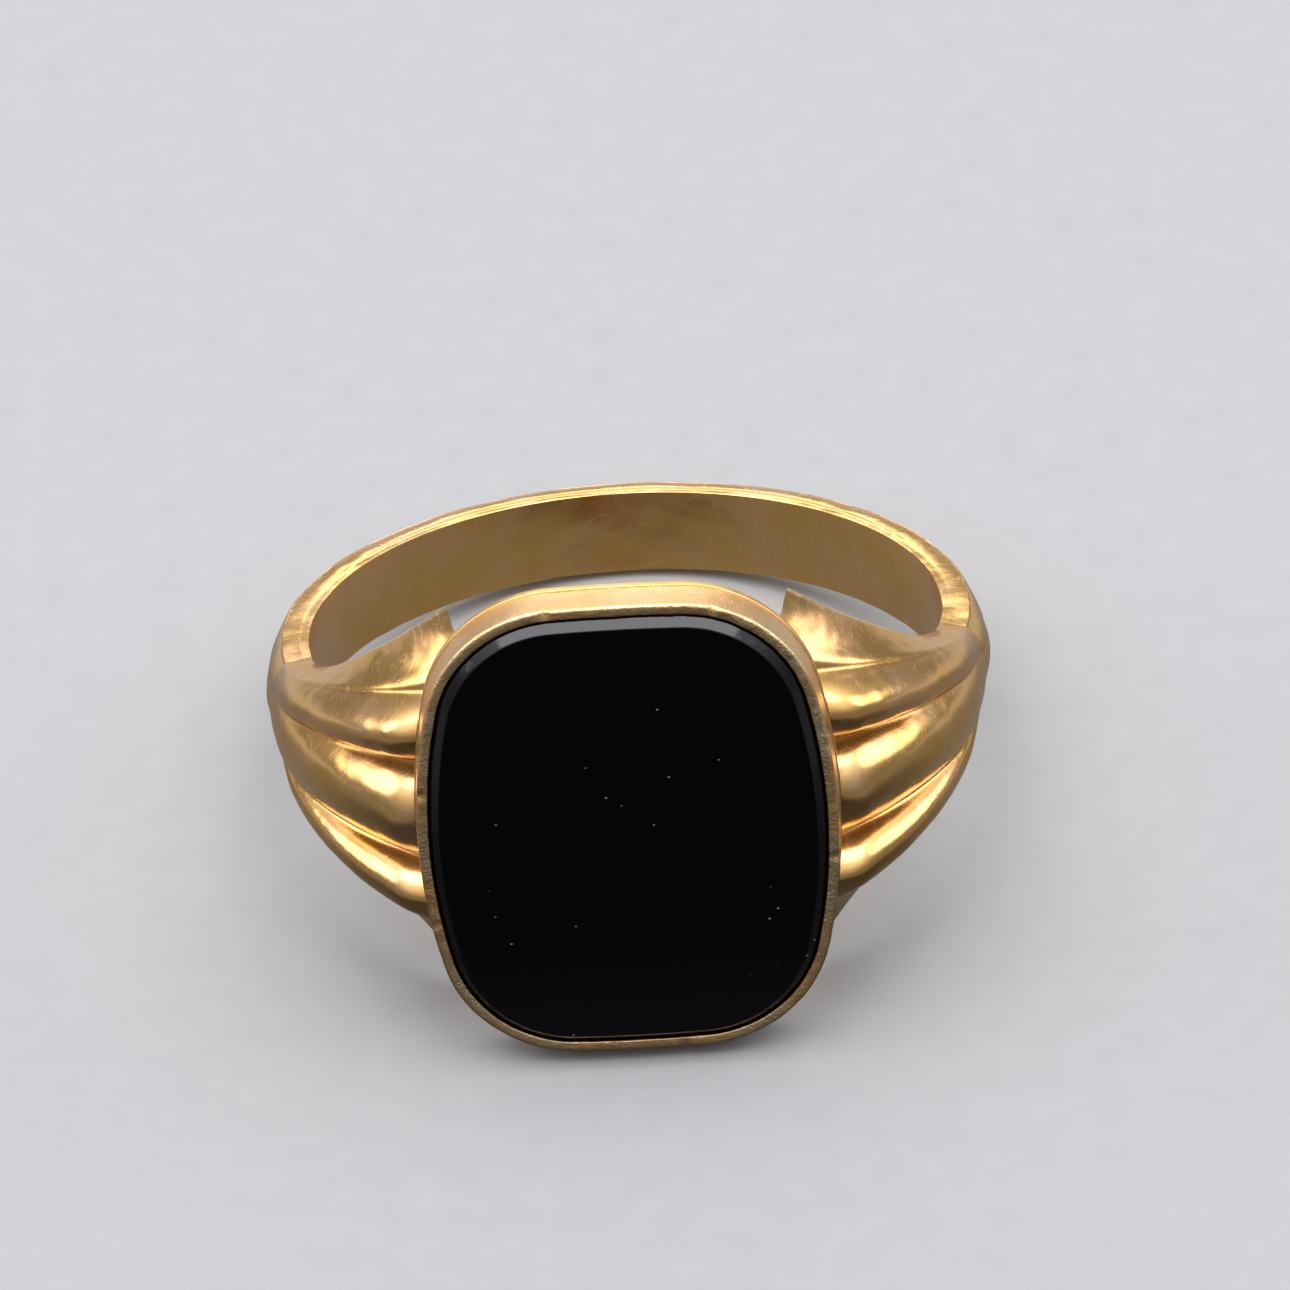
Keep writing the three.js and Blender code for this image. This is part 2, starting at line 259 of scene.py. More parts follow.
flat_row = (TABLE_INSET - FLAT_ROW, TABLE_FRONT)
table_edge = (TABLE_INSET, TABLE_FRONT)
girdle_edge = (GIRDLE_OVERLAP, GIRDLE_FRONT)
girdle_back = (GIRDLE_OVERLAP, TABLET_BACK)
tablet_profile = [
    flat_row,
    *rounded(table_edge, flat_row, girdle_edge, ARRIS_ROUND),
    *rounded(girdle_edge, table_edge, girdle_back, ARRIS_ROUND),
    *rounded(girdle_back, girdle_edge, (0, TABLET_BACK), BACK_ROUND),
    (BACK_INSET, TABLET_BACK),
]
tablet = sweep_cushion("tablet", tablet_profile)
cap_ends(tablet)

# %% [markdown]
# ## The collet wall
# A strip of gold is bent round the stone and soldered to the plate, and its top edge is rubbed over the
# girdle. Its profile starts and ends on its foot, so the sweep leaves one slit there, between two loops
# of edges. Bridging the loops closes it.

# %% Collet wall
WALL_INNER, RIM_OUTER, WALL_BASE_OUTER = 0.11, 0.31, 0.36
PLATE_FRONT, RIM_FRONT = 10.05, 11.2
WALL_BASE = PLATE_FRONT + 0.008       # a hair above the plate
RIM_OVER_STONE = 0.015
FOOT_ROUND, RIM_ROUND, LIP_ROUND = 0.04, 0.1, 0.03

wall_foot = (0.24, WALL_BASE)
wall_base = (WALL_BASE_OUTER, WALL_BASE)
wall_outside = [(0.352, 10.25), (0.343, 10.45), (0.334, 10.65), (0.325, 10.85)]
rim_outer = (RIM_OUTER, RIM_FRONT)
rim_inner = (RIM_OVER_STONE, RIM_FRONT - 0.005)
lip = (RIM_OVER_STONE, GIRDLE_FRONT + 0.13)
under_lip = (WALL_INNER, GIRDLE_FRONT + 0.03)
wall_profile = [
    wall_foot,
    *rounded(wall_base, wall_foot, rim_outer, FOOT_ROUND, 3),
    *wall_outside,
    *rounded(rim_outer, wall_base, rim_inner, RIM_ROUND, 6),
    *rounded(rim_inner, rim_outer, lip, LIP_ROUND, 3),
    lip, under_lip, (WALL_INNER, 10.6), (WALL_INNER, WALL_BASE),
]
wall = sweep_cushion("collet", wall_profile, FINE_STEP)
edit(wall, "EDGE")
bpy.ops.mesh.select_non_manifold()
bpy.ops.mesh.bridge_edge_loops()
only(wall)

# %% [markdown]
# The rim is the most handled part of the ring: a little uneven from the burnisher, and nicked. A
# Displace modifier with a cloudy pattern gives the hand-made unevenness, once in slow waves and once
# fine. Its pattern is placed by an empty at the finger axis, so that it is sized in millimetres.

# %% Unevenness of the hand
CLOUD_DETAIL = 2


def ruffle(piece, size, strength):
    """Moves the surface by a cloudy pattern of the given size, both ways by half the strength."""
    clouds = bpy.data.textures.new(piece.name + "_unevenness", "CLOUDS")
    clouds.noise_scale = size
    clouds.noise_depth = CLOUD_DETAIL
    only(None)
    bpy.ops.object.empty_add(location=(0, 0, 0))
    place = bpy.context.object
    displace = piece.modifiers.new("unevenness", "DISPLACE")
    displace.texture = clouds
    displace.texture_coords = "OBJECT"
    displace.texture_coords_object = place
    displace.strength = strength
    displace.mid_level = 0.5
    apply_modifiers(piece)
    bpy.data.objects.remove(place)
    print(piece.name, "uneven by", strength, "mm over", size, "mm")


ruffle(wall, 1.1, 0.035)
ruffle(wall, 0.28, 0.018)

# %% [markdown]
# A nick is a place where the rim knocked against something. Each vertex within reach of it is pushed
# back towards the finger, fully at its middle and not at all at its edge.

# %% Nicks in the rim
NICK_PUSH, NICK_REACH = Vector((0, 0.05, 0)), 0.22
RIM_NICKS = ((5.70, 2.3), (5.72, -1.1), (5.35, 5.1), (-5.68, 1.4), (-5.62, -2.6), (-5.05, 5.6),
             (-1.9, 6.66), (2.7, 6.62), (1.2, -6.70))


def dent(piece, place, push, reach):
    """Pushes the surface near a place, with a smooth fall-off over a reach."""
    for vertex in piece.data.vertices:
        distance = (vertex.co - place).length / reach
        if distance < 1:
            vertex.co += push * (1 - distance ** 2) ** 2


for x, z in RIM_NICKS:
    dent(wall, Vector((x, -RIM_FRONT, z)), NICK_PUSH, NICK_REACH)
print(len(RIM_NICKS), "nicks along the rim")

# %% [markdown]
# ## The back plate
# The floor of the head is a plain sheet of gold, cut to the cushion outline a hair larger than the wall so
# that the solder has a ledge to run on. Its edges are only eased with a file.

# %% Back plate
PLATE_OUTER, PLATE_BACK = 0.4, 9.8
PLATE_MIDDLE, PLATE_ROUND = 0.2, 0.05

plate_front_edge = (PLATE_OUTER, PLATE_FRONT)
plate_back_edge = (PLATE_OUTER, PLATE_BACK)
plate_profile = [
    (PLATE_MIDDLE, PLATE_FRONT),
    *rounded(plate_front_edge, (PLATE_MIDDLE, PLATE_FRONT), plate_back_edge, PLATE_ROUND),
    *rounded(plate_back_edge, plate_front_edge, (PLATE_MIDDLE, PLATE_BACK), PLATE_ROUND),
    (PLATE_MIDDLE, PLATE_BACK),
]
plate = sweep_cushion("plate", plate_profile)
cap_ends(plate)

# %% [markdown]
# ## The band and its shoulders
# From the back of the finger the band is a plain D of gold. Towards the head it spreads into three
# round-backed ribs with a groove between each two, and beyond the outer ribs thin wings slope down to the
# bore. Ribs that widen and deepen along their length are more than a spin or a bevel can draw, so this
# piece is made another way: a grid is rolled into a tube, and each of its points is placed by rule. One
# rule gives the section at any angle, so the ribs run through the solder joint without a step.

# %% Measures of the band
BORE_RADIUS = 9.1
BAND_HALF_WIDTH, BAND_WIDTH_EASE = 1.3, 0.04
BAND_BACK_RADIUS, BAND_SIDE_RADIUS = 10.0, 10.4
BAND_BACK_CROWN, BAND_SIDE_CROWN = 0.15, 0.5
BAND_EDGE_BOW = 0.06
JOINT_ANGLE, HEAD_ANGLE = math.radians(80), math.radians(31)
RIBS_GONE_ANGLE = math.radians(108)
print("the band is", 2 * BAND_HALF_WIDTH, "mm wide and the bore", 2 * BORE_RADIUS, "mm")

# %% Measures of the ribs and wings
WING_SPREAD, WING_SPREAD_POWER, WING_EDGE = 4.25, 1.46, 0.26
WING_HOLLOW, WING_CLOSING_UP = 0.35, 1.25
RIB_SPREAD, RIB_HEIGHT, RIB_HEIGHT_AT_JOINT, RIB_HEIGHT_POWER = 2.2, 1.28, 0.05, 1.5
RIB_ARC = math.radians(68)
RIB_TIP_FALL, RIB_TIP_FROM, RIB_TIP_TO = 0.45, 0.92, 1.1
GROOVE_AT_HEAD, GROOVE_AT_JOINT, GROOVE_POWER = 1.5, 0.42, 0.6
SHOULDER_RADIUS, SHOULDER_CROWN, SHOULDER_RADIUS_FROM = 10.63, 0.1, 0.4
CREASE_DIP, CREASE_WIDTH = 0.09, 0.12
RIDGE_HEIGHT, RIDGE_REACH = 0.11, 0.30
WING_LINES_FROM, FILM_FROM, FILM_FULL = 0.35, 0.05, 0.5
# Where, down a wing, its painted pale highlight line begins.
EDGE_HIGHLIGHT_FROM = 0.93
fading = [round(math.degrees(angle)) for angle in (JOINT_ANGLE, RIBS_GONE_ANGLE)]
print("the ribs fade out between", fading, "degrees")


def lerp(a, b, t):
    """A number part of the way from one to another."""
    return a + (b - a) * t


def smoothstep(value, low, high):
    """0 below low and 1 above high, with a smooth rise between them."""
    t = min(max((value - low) / (high - low), 0), 1)
    return t * t * (3 - 2 * t)


# %% [markdown]
# Each point of a section has a height along the finger, a radius, and a third number that its finish
# will use. That number is above zero in a groove, where a brown film stays, and below zero on the edge
# of a wing, where the finish paints a pale highlight line. The two halves of a section mirror each other,
# so only one is worked out: half the middle rib, an outer rib, a wing, its edge, and the bore back to the
# middle.

# %% The section of a shoulder
HALF_RIB_POINTS, RIB_POINTS, WING_POINTS, EDGE_POINTS, BORE_POINTS = 14, 28, 22, 5, 18
BORE_CLOSING_UP = 1.6


def rib_points(low, high, first, count, face, crown, rise, film):
    """A round-backed rib between two heights, on the crowned face of the shoulder."""
    for i in range(first, count):
        turn = (2 * i / count - 1) * RIB_ARC
        back = (math.cos(turn) - math.cos(RIB_ARC)) / (1 - math.cos(RIB_ARC))
        height = (low + high) / 2 + (high - low) / 2 * math.sin(turn) / math.sin(RIB_ARC)
        yield height, face - crown(height) + rise * back, (1 - back) ** 4 * film


def shoulder_half(angle):
    """(height, radius, film or painted edge highlight) from the middle of the outside, over one edge, to
    the bore.
    """
    to_head = max((JOINT_ANGLE - angle) / (JOINT_ANGLE - HEAD_ANGLE), 0)
    tip_fall = 1 - RIB_TIP_FALL * smoothstep(to_head, RIB_TIP_FROM, RIB_TIP_TO)
    bore_edge = BAND_HALF_WIDTH + BAND_WIDTH_EASE + WING_SPREAD * to_head ** WING_SPREAD_POWER
    rib_edge = BAND_HALF_WIDTH - BAND_WIDTH_EASE + RIB_SPREAD * to_head
    groove = lerp(GROOVE_AT_JOINT, GROOVE_AT_HEAD, to_head ** GROOVE_POWER)
    middle = lerp(BAND_SIDE_RADIUS, SHOULDER_RADIUS, smoothstep(to_head, 0, SHOULDER_RADIUS_FROM))
    full_crown = lerp(BAND_SIDE_CROWN, SHOULDER_CROWN, to_head)
    rise = lerp(RIB_HEIGHT_AT_JOINT, RIB_HEIGHT * tip_fall, to_head ** RIB_HEIGHT_POWER)
    film = smoothstep(to_head, FILM_FROM, FILM_FULL)
    lined = smoothstep(to_head, 0, WING_LINES_FROM)

    def crown(height):
        return full_crown * (height / rib_edge) ** 2

    half = [*rib_points(-groove, groove, HALF_RIB_POINTS, 2 * HALF_RIB_POINTS, middle, crown, rise, film),
            *rib_points(groove, rib_edge, 0, RIB_POINTS, middle, crown, rise, film)]
    crease = middle - full_crown
    for i in range(WING_POINTS):
        down = (i / WING_POINTS) ** WING_CLOSING_UP
        hollow = WING_HOLLOW * down * (1 - down) * (crease - BORE_RADIUS)
        ridge = RIDGE_HEIGHT * math.sin(math.pi * min(down / RIDGE_REACH, 1)) * lined
        dip = CREASE_DIP * max(1 - down / CREASE_WIDTH, 0) * lined
        radius = lerp(crease, BORE_RADIUS + WING_EDGE, down) - hollow + ridge - dip
        # The third number: film near the crease, and at the wing's edge a negative number that the finish
        # paints as a pale highlight line.
        film_and_edge_highlight = max(1 - 6 * down, 0) ** 2 * film - smoothstep(down, EDGE_HIGHLIGHT_FROM, 1) * lined
        half.append((lerp(rib_edge, bore_edge, down), radius, film_and_edge_highlight))
    # The edge face carries the painted highlight in full.
    for i in range(EDGE_POINTS):
        half.append((bore_edge, BORE_RADIUS + WING_EDGE * (1 - i / EDGE_POINTS), -lined))
    for i in range(BORE_POINTS + 1):
        half.append((bore_edge * (1 - (i / BORE_POINTS) ** BORE_CLOSING_UP), BORE_RADIUS, 0))
    return half


print("a shoulder's half section at the head has", len(shoulder_half(HEAD_ANGLE)), "points")


# %% [markdown]
# Past the joint the band takes over. Its section has the same number of points, so each point can slide
# smoothly from its place on the ribs to its place on the plain D.

# %% The section at any angle
FIRST_WING = HALF_RIB_POINTS + RIB_POINTS
FIRST_EDGE = FIRST_WING + WING_POINTS
SOFTENINGS, EDGE_SOFTENINGS = 5, 1
CRISP_FROM = FIRST_EDGE - 3


def plain_point(i, height, radius, from_back, rib_edge, bore_edge):
    """Where a point of the joint's section goes on the plain band."""
    outside = lerp(BAND_BACK_RADIUS, BAND_SIDE_RADIUS, from_back ** 2)
    crown = lerp(BAND_BACK_CROWN, BAND_SIDE_CROWN, from_back ** 3)
    if i < FIRST_WING:
        return height * BAND_HALF_WIDTH / rib_edge, outside - crown * (height / rib_edge) ** 2
    if i < FIRST_EDGE:
        down = (i - FIRST_WING) / WING_POINTS
        bow = BAND_EDGE_BOW * (1.4 * down - 1) ** 2
        return BAND_HALF_WIDTH - bow, lerp(outside - crown, BORE_RADIUS + WING_EDGE, down)
    return height * (BAND_HALF_WIDTH - 0.5 * BAND_EDGE_BOW) / bore_edge, radius


def band_half(angle):
    """A shoulder's section up to the joint; past it, that section changes smoothly into the band's."""
    if angle <= JOINT_ANGLE:
        return shoulder_half(angle)
    joint = shoulder_half(JOINT_ANGLE)
    plain = smoothstep(angle, JOINT_ANGLE, RIBS_GONE_ANGLE)
    from_back = (math.pi - angle) / (math.pi - JOINT_ANGLE)
    rib_edge, bore_edge = joint[FIRST_WING][0], joint[FIRST_EDGE][0]
    half = []
    for i, (height, radius, film_and_edge_highlight) in enumerate(joint):
        plain_height, plain_radius = plain_point(i, height, radius, from_back, rib_edge, bore_edge)
        half.append((lerp(height, plain_height, plain), lerp(radius, plain_radius, plain),
                     film_and_edge_highlight * (1 - plain)))
    return half


def band_section(angle):
    """The whole closed section. Its ribs are well softened; the edges of its wings stay crisp."""
    half = band_half(angle)
    loop = half + [(-height, radius, film_and_edge_highlight) for height, radius, film_and_edge_highlight in reversed(half[1:-1])]
    count = len(loop)
    for turn in range(SOFTENINGS):
        loop = [
            tuple((loop[i - 1][k] + 2 * loop[i][k] + loop[(i + 1) % count][k]) / 4 for k in range(3))
            if turn < EDGE_SOFTENINGS or min(i, count - i) < CRISP_FROM else loop[i]
            for i in range(count)
        ]
    return loop


print("a whole section has", len(band_section(HEAD_ANGLE)), "points")


# %% [markdown]
# The grid has one column for each point of a section and one row for each angle. Its first and last
# columns fall on each other and are merged, which closes the tube, and the two ends are filled. The
# third number of each point is kept as an attribute of the mesh.

# %% Rolling a grid into a band
ROLL_MERGE = 0.0005


def roll_band(name, first, last, steps):
    """A tube of band sections from one angle to another, with its two ends filled."""
    around = len(band_section(first))
    only(None)
    bpy.ops.mesh.primitive_grid_add(x_subdivisions=around, y_subdivisions=steps, size=2)
    piece = bpy.context.object
    piece.name = name
    rows = {}
    # The attribute 'groove' holds the film in the grooves and, where negative, the painted highlight on
    # the wing edges.
    film_and_highlight_layer = piece.data.attributes.new("groove", "FLOAT", "POINT")
    for vertex in piece.data.vertices:
        column = round((vertex.co.x + 1) / 2 * around)
        row = round((vertex.co.y + 1) / 2 * steps)
        angle = lerp(first, last, row / steps)
        if row not in rows:
            rows[row] = band_section(min(angle, 2 * math.pi - angle))
        height, radius, film_and_edge_highlight = rows[row][column % around]
        vertex.co = (math.sin(angle) * radius, -math.cos(angle) * radius, height)
        film_and_highlight_layer.data[vertex.index].value = film_and_edge_highlight
    edit(piece, action="SELECT")
    bpy.ops.mesh.remove_doubles(threshold=ROLL_MERGE)
    cap_ends(piece)
    face_outwards(piece)
    print(name, "rolled from", steps, "rows of", around, "points")
    return piece


# %% The band
SEAM = 0.0006                     # half the solder seam's angle, in radians
shank = roll_band("shank_band", JOINT_ANGLE + SEAM, 2 * math.pi - JOINT_ANGLE - SEAM, 150)
ruffle(shank, 2.2, 0.08)

# %% [markdown]
# ## Fitting a shoulder to the head
# The goldsmith leaves the shoulder casting too long, then fits its ribs to the collet's wall. The same
# here: the casting runs on under the head, and a Boolean with a block that is a hair larger than the
# head takes away what runs into it.

# %% A shoulder, cast too long
CAST_END_ANGLE = math.radians(16)
shoulder = roll_band("fluted_shoulder_right", CAST_END_ANGLE, JOINT_ANGLE - SEAM, 120)
ruffle(shoulder, 1.6, 0.07)

# %% Fitting it
FIT_GAP, DRAFT = 0.012, 0.01
BLOCK_FRONT = RIM_FRONT + 2

head_block = sweep_cushion("head_block", [
    (RIM_OUTER + FIT_GAP, BLOCK_FRONT),
    (RIM_OUTER + FIT_GAP + DRAFT, RIM_FRONT),
    (WALL_BASE_OUTER + FIT_GAP + DRAFT, PLATE_FRONT + FIT_GAP),
    (PLATE_OUTER + FIT_GAP, PLATE_FRONT + FIT_GAP),
    (PLATE_OUTER + FIT_GAP, PLATE_BACK - FIT_GAP),
])
cap_ends(head_block)
face_outwards(head_block)
fit = shoulder.modifiers.new("fit", "BOOLEAN")
fit.operation = "DIFFERENCE"
fit.solver = "EXACT"
fit.object = head_block
apply_modifiers(shoulder)
bpy.data.objects.remove(head_block)
print("fitted shoulder:", len(shoulder.data.polygons), "faces")

# %% [markdown]
# The ends of the wings are filed to a slant. Bisect is that file: it cuts at a plane, keeps the side
# towards the band and fills the cut. Smoothing the corners near the plane eases them as emery would.

# %% Filing the wing ends
WING_END = Vector((4.74, -7.98, 0))
WING_END_AT_HEAD = Vector((4.13, -9.44, 0))
EASED_WITHIN = 0.05

file_line = WING_END_AT_HEAD - WING_END
file_normal = Vector((file_line.y, -file_line.x, 0)).normalized()
edit(shoulder, action="SELECT")
bpy.ops.mesh.bisect(plane_co=WING_END, plane_no=file_normal, use_fill=True, clear_outer=True)
pick(shoulder, lambda place: abs((place - WING_END).dot(file_normal)) < EASED_WITHIN)
bpy.ops.mesh.vertices_smooth(factor=0.5, repeat=2)
only(shoulder)
print("filed shoulder:", len(shoulder.data.polygons), "faces")

# %% [markdown]
# A Boolean leaves crumbs: corners a few thousandths of a millimetre apart, and faces with many sides
# whose corners lie in a line. Merging the corners and cutting such faces into well-shaped triangles
# keeps the mesh closed.

# %% Cleaning the cuts
CRUMB = 0.002
edit(shoulder, action="SELECT")
bpy.ops.mesh.remove_doubles(threshold=CRUMB)
bpy.ops.mesh.dissolve_degenerate(threshold=CRUMB / 2)
bpy.ops.mesh.select_mode(type="FACE")
bpy.ops.mesh.select_all(action="DESELECT")
bpy.ops.mesh.select_face_by_sides(number=4, type="GREATER")
bpy.ops.mesh.quads_convert_to_tris(quad_method="BEAUTY", ngon_method="BEAUTY")
only(shoulder)
print("clean shoulder:", len(shoulder.data.polygons), "faces")

# %% [markdown]
# The other shoulder is its mirror image across the middle of the ring. The mirroring turns its faces
# inwards, and settling it turns them out again.

# %% The other shoulder
only(shoulder)
bpy.ops.object.duplicate()
left_shoulder = bpy.context.object
left_shoulder.name = "fluted_shoulder_left"
edit(left_shoulder, action="SELECT")
bpy.ops.transform.resize(value=(-1, 1, 1), center_override=(0, 0, 0))
only(left_shoulder)
print(shoulder.name, "and", left_shoulder.name)

# %% [markdown]
# ## Every piece in its place
# Nothing on a ring moves, so all its pieces ride on one body. Six fine pieces stand for their plain CAD
# solids. The bearer and the cement are hidden, so their CAD solids are fine enough as they are.

# %% Settle the pieces
for piece, node, slot in (
    (tablet, "onyx_tablet", "onyx"),
    (wall, "collet_wall", "brushed_gold"),
    (plate, "back_plate", "inner_gold"),
    (shank, "shank", "polished_gold"),
    (shoulder, "shoulder_right", "polished_gold"),
    (left_shoulder, "shoulder_left", "polished_gold"),
):
    settle(piece)
    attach(piece, "root")
    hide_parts(node)


# %% [markdown]
# ## Writing shader maths as sums
# A mask in a material is a small sum, such as "one minus the noise, times the wear". The class below wraps
# the output of a node, and Python's own operators add the Math nodes. Every other node comes from one
# method that takes its type, its settings, and what goes into its sockets.

# %% Shader values
class Value:
    """An output of a node. Arithmetic on it adds Math nodes to its tree."""

    def __init__(self, nodes, socket):
        self.nodes, self.socket = nodes, socket

    def maths(self, operation, *others):
        values = {i: other for i, other in enumerate((self, *others))}
        return self.nodes.node("ShaderNodeMath", {"operation": operation}, values)

    def __add__(self, other):
        return self.maths("ADD", other)

    def __mul__(self, other):
        return self.maths("MULTIPLY", other)

    def __sub__(self, other):
        return self.maths("SUBTRACT", other)

    def __rsub__(self, other):
        return self * -1 + other

    __radd__, __rmul__ = __add__, __mul__

    def between(self, low, high):
        """0 below low and 1 above high, with a smooth rise between them. High may be the lower one."""
        rise = (self - low) * (1 / (high - low))
        return self.nodes.node("ShaderNodeMapRange", {"interpolation_type": "SMOOTHSTEP"}, {0: rise})


# %% Trees of nodes
# What the numbered sockets of some nodes are.
OBJECT_PLACE = 3                  # of Texture Coordinate
GLOSSY_RAY = 3                    # of Light Path
NUMBER = 2                        # of Attribute
X, Y, Z = 0, 1, 2                 # of Separate XYZ


class Nodes:
    """A tree of nodes, and the method that adds to it."""

    def __init__(self, tree):
        self.tree = tree

    def fill(self, node, values):
        """Links or sets the sockets of a node."""
        for key, value in values.items():
            socket = node.inputs[key]
            if isinstance(value, Value):
                self.tree.links.new(value.socket, socket)
            else:
                socket.default_value = value

    def node(self, kind, settings=None, values=None, output=0):
        """Adds a node with its settings, fills its sockets and returns one of its outputs."""
        node = self.tree.nodes.new(kind)
        for key, value in (settings or {}).items():
            if key == "stops":
                self.set_stops(node.color_ramp.elements, value)
            else:
                setattr(node, key, value)
        self.fill(node, values or {})
        return Value(self, node.outputs[output])

    def set_stops(self, elements, stops):
        """Gives a colour ramp its stops, of which a new ramp has two."""
        for i, (place, color) in enumerate(stops):
            stop = elements[i] if i < 2 else elements.new(place)
            stop.position = place
            stop.color = (*color, 1)

    def mix(self, amount, low, high):
        """A colour between two colours."""
        return self.node("ShaderNodeMix", {"data_type": "RGBA"}, {0: amount, 6: low, 7: high}, 2)

    def noise(self, place, scale, detail=2, roughness=0.5):
        return self.node("ShaderNodeTexNoise", None, {
            "Vector": place, "Scale": scale, "Detail": detail, "Roughness": roughness})

    def cells(self, place, scale):
        """The distance to the nearest of many scattered points."""
        return self.node("ShaderNodeTexVoronoi", {"feature": "F1"}, {"Vector": place, "Scale": scale})

    def axis(self, place, index):
        """One number of a place."""
        return self.node("ShaderNodeSeparateXYZ", None, {0: place}, index)


# %% [markdown]
# A finish is a material with a Principled shader. Its patterns read places in the ring's own frame, in
# millimetres, so a scale of 1 in a noise is one wave for each millimetre of gold. A Mapping node of type
# Texture turns the object's places back into that frame.

# %% Finishes
class Finish(Nodes):
    """A material with a Principled shader. What is given by name is the same all over."""

    def __init__(self, name, **constants):
        self.material = bpy.data.materials.new(name)
        self.material.use_nodes = True
        super().__init__(self.material.node_tree)
        self.shader = self.tree.nodes["Principled BSDF"]
        self.fill(self.shader, constants)

    def place(self, scale=None, turn=None):
        """Places in the ring's own frame, which may be scaled and turned for a pattern."""
        coordinates = self.node("ShaderNodeTexCoord", output=OBJECT_PLACE)
        in_ring = self.node("ShaderNodeMapping", {"vector_type": "TEXTURE"}, {
            "Vector": coordinates, "Location": ring_place,
            "Rotation": (tip_angle, 0, 0), "Scale": (MM, MM, MM)})
        if scale is None:
            return in_ring
        return self.node("ShaderNodeMapping", None, {"Vector": in_ring, "Rotation": turn, "Scale": scale})

    def bump(self, height, distance, strength):
        return self.node("ShaderNodeBump", None, {
            "Height": height, "Distance": distance, "Strength": strength})

    def use(self, **sockets):
        """Links what varies over the surface to the Principled shader."""
        self.fill(self.shader, {key.replace("_", " "): value for key, value in sockets.items()})


def wear(piece, material):
    """Gives a piece its one material."""
    piece.data.materials.clear()
    piece.data.materials.append(material)


# %% [markdown]
# ## Gold
# Old gold is one colour with many skins. Worn faces are bright and smooth, grooves keep a brown film that
# no cloth reaches, the edges of the wings carry a painted pale highlight line, and everything carries fine
# hair scratches. The colour is a warm, reddish gold. Where light bounces from gold to gold in the grooves
# it deepens to orange without any help.

# %% Colours of gold
GOLD = (0.950, 0.575, 0.195, 1)
ROSY = (0.920, 0.555, 0.250, 1)
FILM = (0.600, 0.290, 0.080, 1)
PALE = (0.970, 0.735, 0.420, 1)

HAIR_WIDTH = 0.018
HAIR_DEPTH, WAVE_DEPTH, BUMP_UNIT = 0.5, 12, 0.0015 * MM


def scratches(finish, scale, stretch, turn, seed):
    """Hair scratches: the thin zero lines of a noise that is stretched along one direction."""
    noise = finish.node("ShaderNodeTexNoise", {"noise_dimensions": "4D"}, {
        "Vector": finish.place(stretch, turn), "W": seed, "Scale": scale, "Detail": 1.0,
        "Roughness": 0.5, "Distortion": 0.2})
    return (noise - 0.5).maths("ABSOLUTE").between(HAIR_WIDTH, 0)


def hair_scratches(finish, place):
    """Two lays of scratches that cross, each in its own patches."""
    crossing = finish.noise(place, 1.4, 1)
    one_way = scratches(finish, 1.0, (0.6, 4.0, 1.6), (0.3, 0.5, 0.7), 1.7)
    other_way = scratches(finish, 1.3, (3.2, 0.7, 1.3), (0.9, 0.2, 2.1), 4.2)
    return one_way * crossing.between(0.45, 0.6) + other_way * crossing.between(0.55, 0.4)


# %% [markdown]
# One function makes all three golds. They differ in colour, in roughness, in how much brown film they
# carry, in how deep their unevenness goes, and in the grain of fine pits that a satin surface has. The
# polished gold also reads the attribute of the band and the shoulders: film in the grooves, and a painted
# highlight, a pale line, on the edges of the wings.

# %% Gold finishes
def gold_finish(name, color, rough, film_share, depth, grain=0.0, grooved=False):
    """A worn gold. Its film and scratches change its colour, its roughness and its height."""
    finish = Finish(name, Metallic=1.0)
    place = finish.place()
    patches = finish.noise(place, 0.55)
    fine = finish.noise(place, 6.0, 3, 0.6)
    hairs = hair_scratches(finish, place)

    film = (patches * 0.8 + fine * 0.2).between(0.58, 0.38) * film_share
    if grooved:
        attribute = finish.node("ShaderNodeAttribute", {"attribute_name": "groove"}, output=NUMBER)
        in_groove = attribute.maths("MAXIMUM", 0.0)
        film = (film + in_groove * (0.45 + fine * 0.4)).maths("MINIMUM", 1.0)
    base = finish.mix(patches.between(0.40, 0.62), color, ROSY)
    base = finish.mix(film, base, FILM)
    base = finish.mix(hairs * 0.2, base, PALE)
    if grooved:
        # Painted highlight: the wing edges are mixed towards pale gold, a bright line that stands for
        # light caught by the edges.
        base = finish.mix((attribute * -1).between(0.1, 0.7) * 0.9, base, PALE)

    roughness = rough + patches.between(0.35, 0.7) * 0.06 + film * 0.10 + hairs * 0.08
    height = finish.noise(place, 1.5, 2, 0.45) * WAVE_DEPTH - hairs * HAIR_DEPTH
    if grain:
        pits = finish.noise(place, 14.0, 3, 0.65)
        height = height + (pits - 0.5) * grain
        roughness = roughness + pits.between(0.5, 0.7) * 0.12
    finish.use(Base_Color=base, Roughness=roughness, Normal=finish.bump(height, BUMP_UNIT, depth))
    print(name, "has", len(finish.tree.nodes), "nodes")
    return finish.material


polished = gold_finish("polished gold", GOLD, 0.19, 0.15, 0.7, grooved=True)
brushed = gold_finish("brushed gold", PALE, 0.25, 0.22, 0.9, grain=16.0)
inner = gold_finish("inner gold", GOLD, 0.30, 0.35, 0.8, grain=3.0)

# %% [markdown]
# ## Onyx
# Black, glassy and smooth, so its surface only shows through what lies on it: specks of dust, a few short
# scratches, and a faint haze from fingers. The bevel is a little less well polished than the table, and
# finely chipped in places.

# %% Onyx
ONYX_BLACK, DUST_GREY = (0.0010, 0.0010, 0.0013, 1), (0.42, 0.43, 0.46, 1)
TABLE_ROUGHNESS, SPECK_SIZE = 0.03, 0.045
BEVEL_FROM, BEVEL_FULLY = TABLE_FRONT - 0.01, TABLE_FRONT - 0.04

